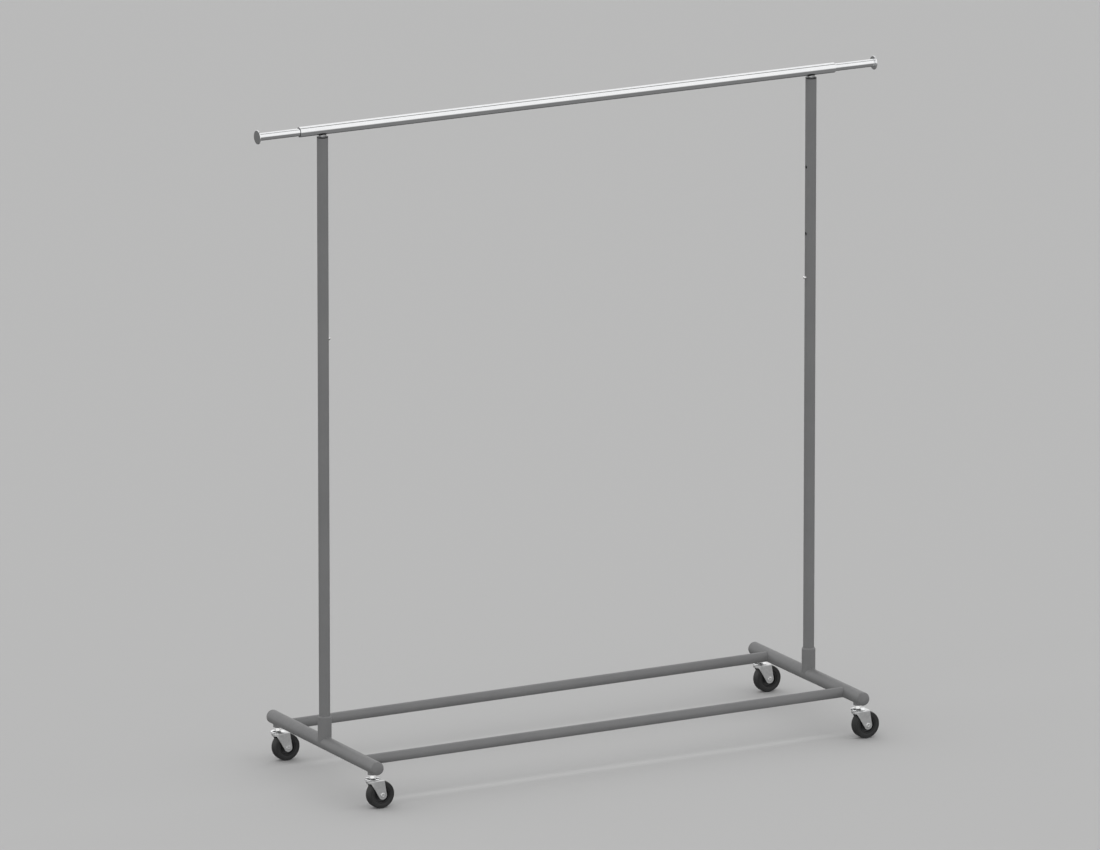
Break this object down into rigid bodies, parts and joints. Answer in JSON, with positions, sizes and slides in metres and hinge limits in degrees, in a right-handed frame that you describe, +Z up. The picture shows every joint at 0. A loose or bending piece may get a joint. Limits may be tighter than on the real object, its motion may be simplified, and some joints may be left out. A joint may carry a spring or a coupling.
{
  "type": "garment rail",
  "caption": "Rolling garment rail: tubular base on swivel casters, uprights with telescoping posts and snap buttons, and a hang bar whose ends pull out",
  "frame": {"origin": "on the floor, under the middle of the hang bar and of the base", "axes": "+X along the hang bar to the right, +Y to the rear, +Z up"},
  "size_m": [1.7376, 0.578, 1.6855],
  "materials": {
    "grey_paint": "satin grey powder coat",
    "chrome": "polished chrome plate",
    "zinc_plate": "bright zinc plate on pressed steel",
    "spring_steel": "plain rolled spring steel",
    "black_plastic": "moulded black nylon",
    "grey_plastic": "moulded grey polyethylene",
    "rubber": "matt black rubber"
  },
  "bodies": {
    "base_frame": {"left_foot": "grey_paint", "left_upright_socket": "grey_paint", "left_upright": "grey_paint", "left_upright_collar": "black_plastic", "front_left_foot_cap": "grey_plastic", "front_left_caster_boss": "grey_paint", "front_left_caster_stem": "zinc_plate", "front_left_race_cup": "chrome", "rear_left_foot_cap": "grey_plastic", "rear_left_caster_boss": "grey_paint", "rear_left_caster_stem": "zinc_plate", "rear_left_race_cup": "chrome", "right_foot": "grey_paint", "right_upright_socket": "grey_paint", "right_upright": "grey_paint", "right_upright_collar": "black_plastic", "front_right_foot_cap": "grey_plastic", "front_right_caster_boss": "grey_paint", "front_right_caster_stem": "zinc_plate", "front_right_race_cup": "chrome", "rear_right_foot_cap": "grey_plastic", "rear_right_caster_boss": "grey_paint", "rear_right_caster_stem": "zinc_plate", "rear_right_race_cup": "chrome", "front_base_bar": "grey_paint", "rear_base_bar": "grey_paint"},
    "hang_bar_assembly": {"hang_bar": "chrome", "left_post": "chrome", "left_post_glide": "black_plastic", "left_bar_bush": "black_plastic", "left_button_spring": "spring_steel", "right_post": "chrome", "right_post_glide": "black_plastic", "right_bar_bush": "black_plastic", "right_button_spring": "spring_steel"},
    "left_rail_extension": {"left_extension": "chrome", "left_end_stop": "chrome", "left_extension_guide": "black_plastic"},
    "right_rail_extension": {"right_extension": "chrome", "right_end_stop": "chrome", "right_extension_guide": "black_plastic"},
    "left_button": {"left_snap_button": "zinc_plate"},
    "right_button": {"right_snap_button": "zinc_plate"},
    "front_left_caster": {"front_left_fork": "zinc_plate", "front_left_axle": "zinc_plate"},
    "front_left_wheel": {"front_left_tyre": "rubber", "front_left_hub": "black_plastic"},
    "front_right_caster": {"front_right_fork": "zinc_plate", "front_right_axle": "zinc_plate"},
    "front_right_wheel": {"front_right_tyre": "rubber", "front_right_hub": "black_plastic"},
    "rear_left_caster": {"rear_left_fork": "zinc_plate", "rear_left_axle": "zinc_plate"},
    "rear_left_wheel": {"rear_left_tyre": "rubber", "rear_left_hub": "black_plastic"},
    "rear_right_caster": {"rear_right_fork": "zinc_plate", "rear_right_axle": "zinc_plate"},
    "rear_right_wheel": {"rear_right_tyre": "rubber", "rear_right_hub": "black_plastic"}
  },
  "joints": [
    {"name": "height_slide", "type": "slide", "parent": "base_frame", "child": "hang_bar_assembly", "axis": [0, 0, 1], "range_m": [0, 0.2835], "deforming": ["left_snap_button", "right_snap_button"]},
    {"name": "left_extension_slide", "type": "slide", "parent": "hang_bar_assembly", "child": "left_rail_extension", "axis": [-1, 0, 0], "range_m": [-0.111, 0.15]},
    {"name": "right_extension_slide", "type": "slide", "parent": "hang_bar_assembly", "child": "right_rail_extension", "axis": [1, 0, 0], "range_m": [-0.111, 0.15]},
    {"name": "left_button_press", "type": "slide", "parent": "hang_bar_assembly", "child": "left_button", "axis": [-1, 0, 0], "range_m": [0, 0.0075], "stiffness_N_per_m": 400, "springref_m": -0.005, "deforming": ["left_button_spring"]},
    {"name": "right_button_press", "type": "slide", "parent": "hang_bar_assembly", "child": "right_button", "axis": [1, 0, 0], "range_m": [0, 0.0075], "stiffness_N_per_m": 400, "springref_m": -0.005, "deforming": ["right_button_spring"]},
    {"name": "front_left_swivel", "type": "hinge", "parent": "base_frame", "child": "front_left_caster", "pos_m": [-0.688, -0.2525, 0.0744], "axis": [0, 0, 1], "continuous": true},
    {"name": "front_left_wheel_spin", "type": "hinge", "parent": "front_left_caster", "child": "front_left_wheel", "pos_m": [-0.6665, -0.2525, 0.035], "axis": [0, 1, 0], "continuous": true},
    {"name": "front_right_swivel", "type": "hinge", "parent": "base_frame", "child": "front_right_caster", "pos_m": [0.688, -0.2525, 0.0744], "axis": [0, 0, 1], "continuous": true},
    {"name": "front_right_wheel_spin", "type": "hinge", "parent": "front_right_caster", "child": "front_right_wheel", "pos_m": [0.7095, -0.2525, 0.035], "axis": [0, 1, 0], "continuous": true},
    {"name": "rear_left_swivel", "type": "hinge", "parent": "base_frame", "child": "rear_left_caster", "pos_m": [-0.688, 0.2525, 0.0744], "axis": [0, 0, 1], "continuous": true},
    {"name": "rear_left_wheel_spin", "type": "hinge", "parent": "rear_left_caster", "child": "rear_left_wheel", "pos_m": [-0.6665, 0.2525, 0.035], "axis": [0, 1, 0], "continuous": true},
    {"name": "rear_right_swivel", "type": "hinge", "parent": "base_frame", "child": "rear_right_caster", "pos_m": [0.688, 0.2525, 0.0744], "axis": [0, 0, 1], "continuous": true},
    {"name": "rear_right_wheel_spin", "type": "hinge", "parent": "rear_right_caster", "child": "rear_right_wheel", "pos_m": [0.7095, 0.2525, 0.035], "axis": [0, 1, 0], "continuous": true}
  ]
}
